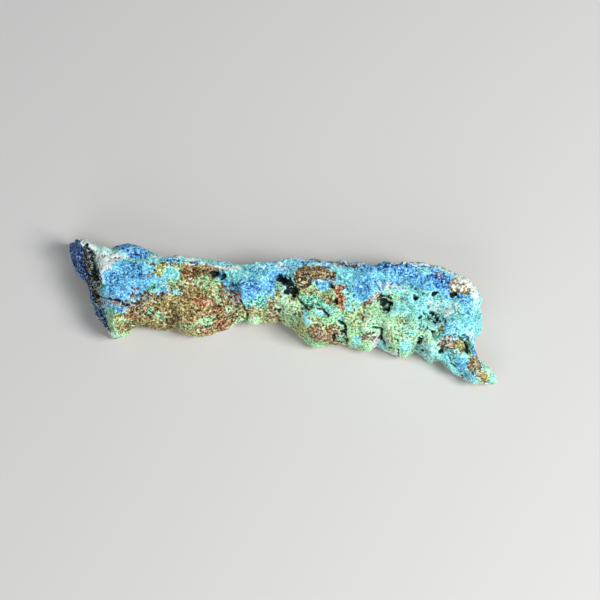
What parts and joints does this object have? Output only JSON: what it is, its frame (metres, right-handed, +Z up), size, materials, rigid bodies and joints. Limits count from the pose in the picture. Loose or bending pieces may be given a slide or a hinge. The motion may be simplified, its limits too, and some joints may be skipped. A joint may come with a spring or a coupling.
{
  "type": "chrysocolla specimen",
  "caption": "Long splinter of copper-vein rock with a blue and green chrysocolla crust, pits, cracks and a hooked tail; it lies on its broken back.",
  "frame": {"origin": "middle of the stone's outline, on the surface that it rests on", "axes": "+X along the splinter towards the hooked tail, +Y towards the far, thicker side, +Z up from the broken back through the crusted show face"},
  "size_m": [0.082, 0.0298, 0.0125],
  "materials": {
    "chrysocolla_crust": "matte, crusty, blue and green over brown"
  },
  "bodies": {
    "root": {"chrysocolla_specimen": "chrysocolla_crust"}
  },
  "joints": []
}
